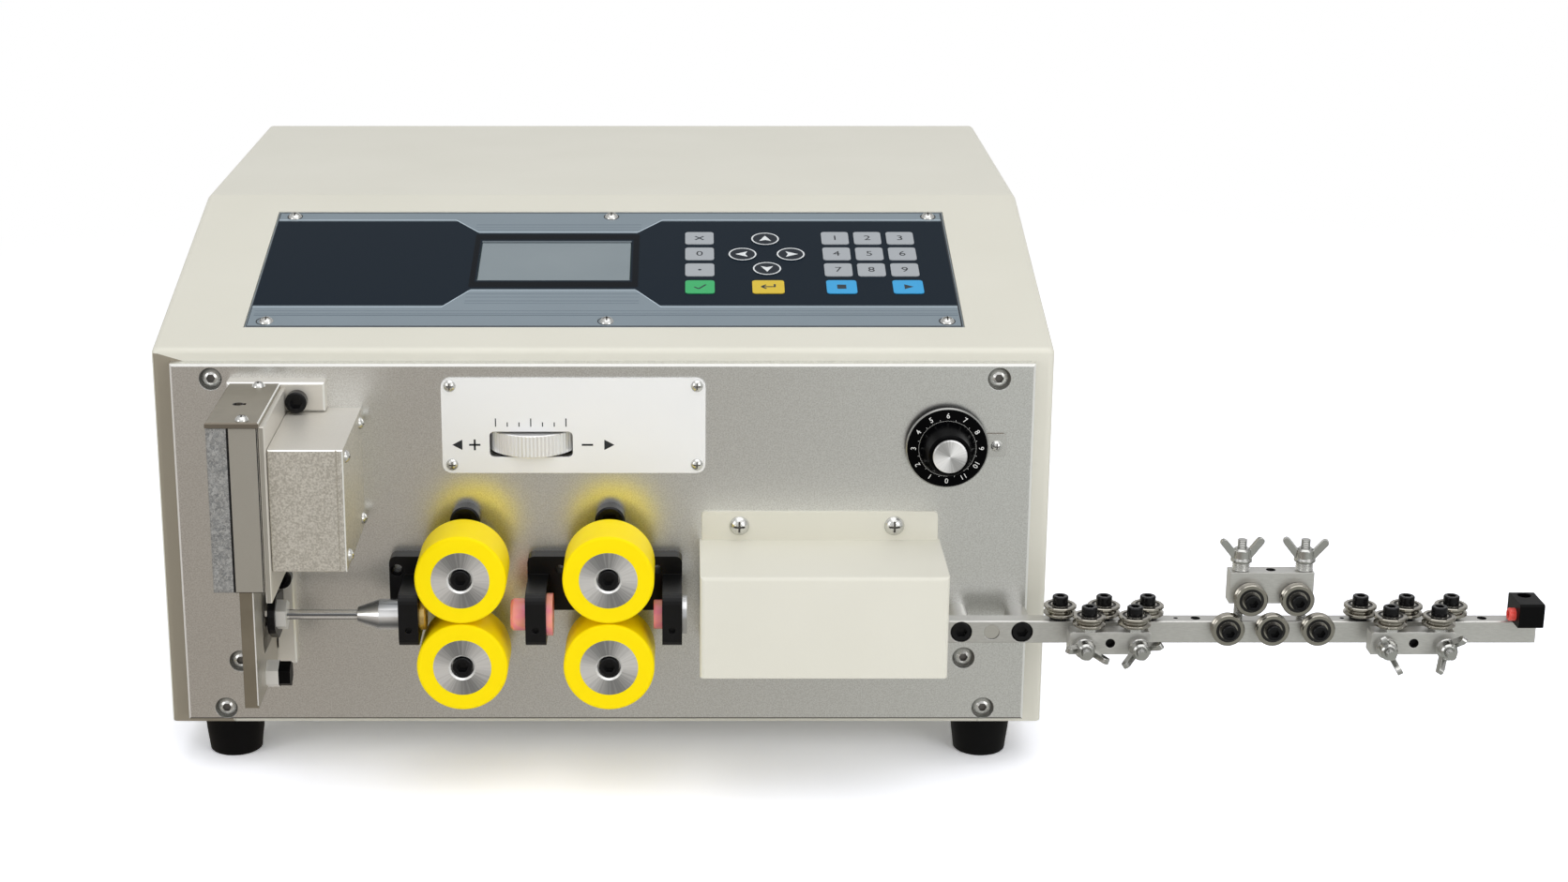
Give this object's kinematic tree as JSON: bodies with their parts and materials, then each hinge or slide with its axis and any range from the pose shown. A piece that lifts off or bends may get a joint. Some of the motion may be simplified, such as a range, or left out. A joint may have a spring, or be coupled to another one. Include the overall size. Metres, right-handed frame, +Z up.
{
  "type": "wire stripping machine",
  "caption": "Bench machine that feeds wire through a roller straightener arm and paired rollers to blades that cut it to length and strip its ends.",
  "frame": {"origin": "on the bench, under the middle of the whole machine's box, arm included", "axes": "+X to the right along the wire's path towards the arm's free end, +Y away from the operator, +Z up"},
  "size_m": [0.614, 0.4394, 0.235],
  "materials": {
    "powder_coat": "fine textured powder coat",
    "plate_alloy": "bead blasted",
    "frame_steel": "machined",
    "foot_rubber": "matte",
    "panel_film": "printed film",
    "display": "glass over grey liquid crystal",
    "white_plate": "smooth",
    "black_anodised": "black anodised",
    "turned_chrome": "polished",
    "cutter_steel": "ground",
    "blasted_alloy": "bead blasted",
    "zinc_screw": "zinc plated",
    "black_screw": "black oxide",
    "arm_alloy": "satin anodised",
    "black_plastic": "moulded",
    "electrics": "moulded",
    "motor_body": "painted and laminated",
    "yellow_tyre": "cast polyurethane",
    "shaft_steel": "ground",
    "gear_brass": "machined",
    "blade_steel": "ground tool steel",
    "block_alloy": "satin",
    "wing_zinc": "cast and zinc plated",
    "bearing_steel": "ground"
  },
  "bodies": {
    "root": {"cover_shell": "powder_coat", "chassis_tray": "powder_coat", "front_plate": "plate_alloy", "gearbox_frame": "frame_steel", "rubber_feet": "foot_rubber", "membrane_panel": "panel_film", "lcd_module": "display", "gap_plate": "white_plate", "guide_holders": "black_anodised", "wire_guides": "turned_chrome", "cutter_frame": "cutter_steel", "cutter_box": "blasted_alloy", "bright_screws": "zinc_screw", "socket_screws": "black_screw", "infeed_cover": "powder_coat", "arm_bar": "arm_alloy", "end_guide": "black_plastic", "power_unit": "electrics", "stepper_motors": "motor_body", "dial_base": "zinc_screw"},
    "roller_ll": {"feed_roller_ll": "yellow_tyre", "roller_shaft_ll": "shaft_steel"},
    "roller_lr": {"feed_roller_lr": "yellow_tyre", "roller_shaft_lr": "shaft_steel"},
    "roller_ul": {"feed_roller_ul": "yellow_tyre", "roller_shaft_ul": "shaft_steel"},
    "roller_ur": {"feed_roller_ur": "yellow_tyre", "roller_shaft_ur": "shaft_steel"},
    "feed_pinion": {"feed_pinion": "gear_brass"},
    "cutter_pinion": {"cutter_pinion": "gear_brass"},
    "thumbwheel": {"thumbwheel": "turned_chrome"},
    "lift_carriage": {"lift_carriage": "frame_steel"},
    "dial_knob": {"dial_knob": "black_plastic"},
    "upper_blade_slide": {"upper_blade_slide": "blade_steel"},
    "lower_blade_slide": {"lower_blade_slide": "blade_steel"},
    "rocker_switch": {"rocker_switch": "black_plastic"},
    "block_a": {"straightener_block_a": "block_alloy"},
    "wing_nut_a1": {"wing_nut_a1": "wing_zinc"},
    "wing_nut_a2": {"wing_nut_a2": "wing_zinc"},
    "bearing_a1": {"bearing_a1": "bearing_steel"},
    "bearing_a2": {"bearing_a2": "bearing_steel"},
    "bearing_a3": {"bearing_a3": "bearing_steel"},
    "bearing_a4": {"bearing_a4": "bearing_steel"},
    "bearing_a5": {"bearing_a5": "bearing_steel"},
    "block_b": {"straightener_block_b": "block_alloy"},
    "wing_nut_b1": {"wing_nut_b1": "wing_zinc"},
    "wing_nut_b2": {"wing_nut_b2": "wing_zinc"},
    "bearing_b1": {"bearing_b1": "bearing_steel"},
    "bearing_b2": {"bearing_b2": "bearing_steel"},
    "bearing_b3": {"bearing_b3": "bearing_steel"},
    "bearing_b4": {"bearing_b4": "bearing_steel"},
    "bearing_b5": {"bearing_b5": "bearing_steel"},
    "block_c": {"straightener_block_c": "block_alloy"},
    "wing_nut_c1": {"wing_nut_c1": "wing_zinc"},
    "wing_nut_c2": {"wing_nut_c2": "wing_zinc"},
    "bearing_c1": {"bearing_c1": "bearing_steel"},
    "bearing_c2": {"bearing_c2": "bearing_steel"},
    "bearing_c3": {"bearing_c3": "bearing_steel"},
    "bearing_c4": {"bearing_c4": "bearing_steel"},
    "bearing_c5": {"bearing_c5": "bearing_steel"}
  },
  "joints": [
    {"name": "roller_ll_spin", "type": "hinge", "parent": "root", "child": "roller_ll", "pos_m": [-0.1686, -0.1757, 0.06435], "axis": [0, -1, 0], "continuous": true},
    {"name": "roller_lr_spin", "type": "hinge", "parent": "root", "child": "roller_lr", "pos_m": [-0.1041, -0.1757, 0.06435], "axis": [0, -1, 0], "continuous": true},
    {"name": "feed_pinion_spin", "type": "hinge", "parent": "root", "child": "feed_pinion", "pos_m": [-0.13635, -0.1197, 0.06435], "axis": [0, -1, 0], "continuous": true},
    {"name": "thumbwheel_turn", "type": "hinge", "parent": "root", "child": "thumbwheel", "pos_m": [-0.139, -0.1337, 0.155], "axis": [0, 0, -1], "range_deg": [0, 900]},
    {"name": "carriage_lift", "type": "slide", "parent": "root", "child": "lift_carriage", "axis": [0, 0, 1], "range_m": [0, 0.0025]},
    {"name": "roller_ul_spin", "type": "hinge", "parent": "lift_carriage", "child": "roller_ul", "pos_m": [-0.1686, -0.1757, 0.10485], "axis": [0, -1, 0], "continuous": true},
    {"name": "roller_ur_spin", "type": "hinge", "parent": "lift_carriage", "child": "roller_ur", "pos_m": [-0.1041, -0.1757, 0.10485], "axis": [0, -1, 0], "continuous": true},
    {"name": "dial_turn", "type": "hinge", "parent": "root", "child": "dial_knob", "pos_m": [0.0454, -0.1547, 0.1545], "axis": [0, -1, 0], "range_deg": [-150, 150]},
    {"name": "cutter_pinion_turn", "type": "hinge", "parent": "root", "child": "cutter_pinion", "pos_m": [-0.248, -0.1357, 0.145], "axis": [0, -1, 0], "range_deg": [0, 36]},
    {"name": "upper_blade_close", "type": "slide", "parent": "root", "child": "upper_blade_slide", "axis": [0, 0, -1], "range_m": [0, 0.005]},
    {"name": "lower_blade_close", "type": "slide", "parent": "root", "child": "lower_blade_slide", "axis": [0, 0, 1], "range_m": [0, 0.005]},
    {"name": "rocker_turn", "type": "hinge", "parent": "root", "child": "rocker_switch", "pos_m": [0.033, 0.2155, 0.086], "axis": [-1, 0, 0], "range_deg": [0, 14]},
    {"name": "block_a_slide", "type": "slide", "parent": "root", "child": "block_a", "axis": [0, -1, 0], "range_m": [0, 0.0024]},
    {"name": "wing_nut_a1_turn", "type": "hinge", "parent": "block_a", "child": "wing_nut_a1", "pos_m": [0.1045, -0.1927, 0.0736], "axis": [0, -1, 0], "range_deg": [0, 1240]},
    {"name": "wing_nut_a2_turn", "type": "hinge", "parent": "block_a", "child": "wing_nut_a2", "pos_m": [0.1285, -0.1927, 0.0736], "axis": [0, -1, 0], "range_deg": [0, 1240]},
    {"name": "bearing_a1_spin", "type": "hinge", "parent": "root", "child": "bearing_a1", "pos_m": [0.096, -0.1687, 0.0846], "axis": [0, 0, 1], "continuous": true},
    {"name": "bearing_a2_spin", "type": "hinge", "parent": "root", "child": "bearing_a2", "pos_m": [0.1154, -0.1687, 0.0846], "axis": [0, 0, 1], "continuous": true},
    {"name": "bearing_a3_spin", "type": "hinge", "parent": "root", "child": "bearing_a3", "pos_m": [0.1348, -0.1687, 0.0846], "axis": [0, 0, 1], "continuous": true},
    {"name": "bearing_a4_spin", "type": "hinge", "parent": "block_a", "child": "bearing_a4", "pos_m": [0.1069, -0.1827, 0.0846], "axis": [0, 0, 1], "continuous": true},
    {"name": "bearing_a5_spin", "type": "hinge", "parent": "block_a", "child": "bearing_a5", "pos_m": [0.1269, -0.1827, 0.0846], "axis": [0, 0, 1], "continuous": true},
    {"name": "block_b_slide", "type": "slide", "parent": "root", "child": "block_b", "axis": [0, 0, 1], "range_m": [0, 0.0024]},
    {"name": "wing_nut_b1_turn", "type": "hinge", "parent": "block_b", "child": "wing_nut_b1", "pos_m": [0.1752, -0.1687, 0.1066], "axis": [0, 0, 1], "range_deg": [0, 1240]},
    {"name": "wing_nut_b2_turn", "type": "hinge", "parent": "block_b", "child": "wing_nut_b2", "pos_m": [0.2032, -0.1687, 0.1066], "axis": [0, 0, 1], "range_deg": [0, 1240]},
    {"name": "bearing_b1_spin", "type": "hinge", "parent": "root", "child": "bearing_b1", "pos_m": [0.1695, -0.1757, 0.0776], "axis": [0, -1, 0], "continuous": true},
    {"name": "bearing_b2_spin", "type": "hinge", "parent": "root", "child": "bearing_b2", "pos_m": [0.1892, -0.1757, 0.0776], "axis": [0, -1, 0], "continuous": true},
    {"name": "bearing_b3_spin", "type": "hinge", "parent": "root", "child": "bearing_b3", "pos_m": [0.2094, -0.1757, 0.0776], "axis": [0, -1, 0], "continuous": true},
    {"name": "bearing_b4_spin", "type": "hinge", "parent": "block_b", "child": "bearing_b4", "pos_m": [0.1789, -0.1757, 0.0916], "axis": [0, -1, 0], "continuous": true},
    {"name": "bearing_b5_spin", "type": "hinge", "parent": "block_b", "child": "bearing_b5", "pos_m": [0.1994, -0.1757, 0.0916], "axis": [0, -1, 0], "continuous": true},
    {"name": "block_c_slide", "type": "slide", "parent": "root", "child": "block_c", "axis": [0, -1, 0], "range_m": [0, 0.0024]},
    {"name": "wing_nut_c1_turn", "type": "hinge", "parent": "block_c", "child": "wing_nut_c1", "pos_m": [0.2368, -0.1927, 0.0736], "axis": [0, -1, 0], "range_deg": [0, 1240]},
    {"name": "wing_nut_c2_turn", "type": "hinge", "parent": "block_c", "child": "wing_nut_c2", "pos_m": [0.2629, -0.1927, 0.0736], "axis": [0, -1, 0], "range_deg": [0, 1240]},
    {"name": "bearing_c1_spin", "type": "hinge", "parent": "root", "child": "bearing_c1", "pos_m": [0.2293, -0.1687, 0.0846], "axis": [0, 0, 1], "continuous": true},
    {"name": "bearing_c2_spin", "type": "hinge", "parent": "root", "child": "bearing_c2", "pos_m": [0.2497, -0.1687, 0.0846], "axis": [0, 0, 1], "continuous": true},
    {"name": "bearing_c3_spin", "type": "hinge", "parent": "root", "child": "bearing_c3", "pos_m": [0.2696, -0.1687, 0.0846], "axis": [0, 0, 1], "continuous": true},
    {"name": "bearing_c4_spin", "type": "hinge", "parent": "block_c", "child": "bearing_c4", "pos_m": [0.2393, -0.1827, 0.0846], "axis": [0, 0, 1], "continuous": true},
    {"name": "bearing_c5_spin", "type": "hinge", "parent": "block_c", "child": "bearing_c5", "pos_m": [0.2605, -0.1827, 0.0846], "axis": [0, 0, 1], "continuous": true}
  ],
  "couplings": [
    {"joint": "roller_lr_spin", "follows": "roller_ll_spin", "ratio": 1},
    {"joint": "roller_ul_spin", "follows": "roller_ll_spin", "ratio": -1},
    {"joint": "roller_ur_spin", "follows": "roller_ll_spin", "ratio": -1},
    {"joint": "feed_pinion_spin", "follows": "roller_ll_spin", "ratio": -1.6875},
    {"joint": "thumbwheel_turn", "follows": "carriage_lift", "rad_per_m": 6283.1},
    {"joint": "lower_blade_close", "follows": "upper_blade_close", "ratio": 1},
    {"joint": "cutter_pinion_turn", "follows": "upper_blade_close", "rad_per_m": 125},
    {"joint": "wing_nut_a1_turn", "follows": "block_a_slide", "rad_per_m": 8975.9},
    {"joint": "wing_nut_a2_turn", "follows": "block_a_slide", "rad_per_m": 8975.9},
    {"joint": "wing_nut_b1_turn", "follows": "block_b_slide", "rad_per_m": 8975.9},
    {"joint": "wing_nut_b2_turn", "follows": "block_b_slide", "rad_per_m": 8975.9},
    {"joint": "wing_nut_c1_turn", "follows": "block_c_slide", "rad_per_m": 8975.9},
    {"joint": "wing_nut_c2_turn", "follows": "block_c_slide", "rad_per_m": 8975.9}
  ]
}
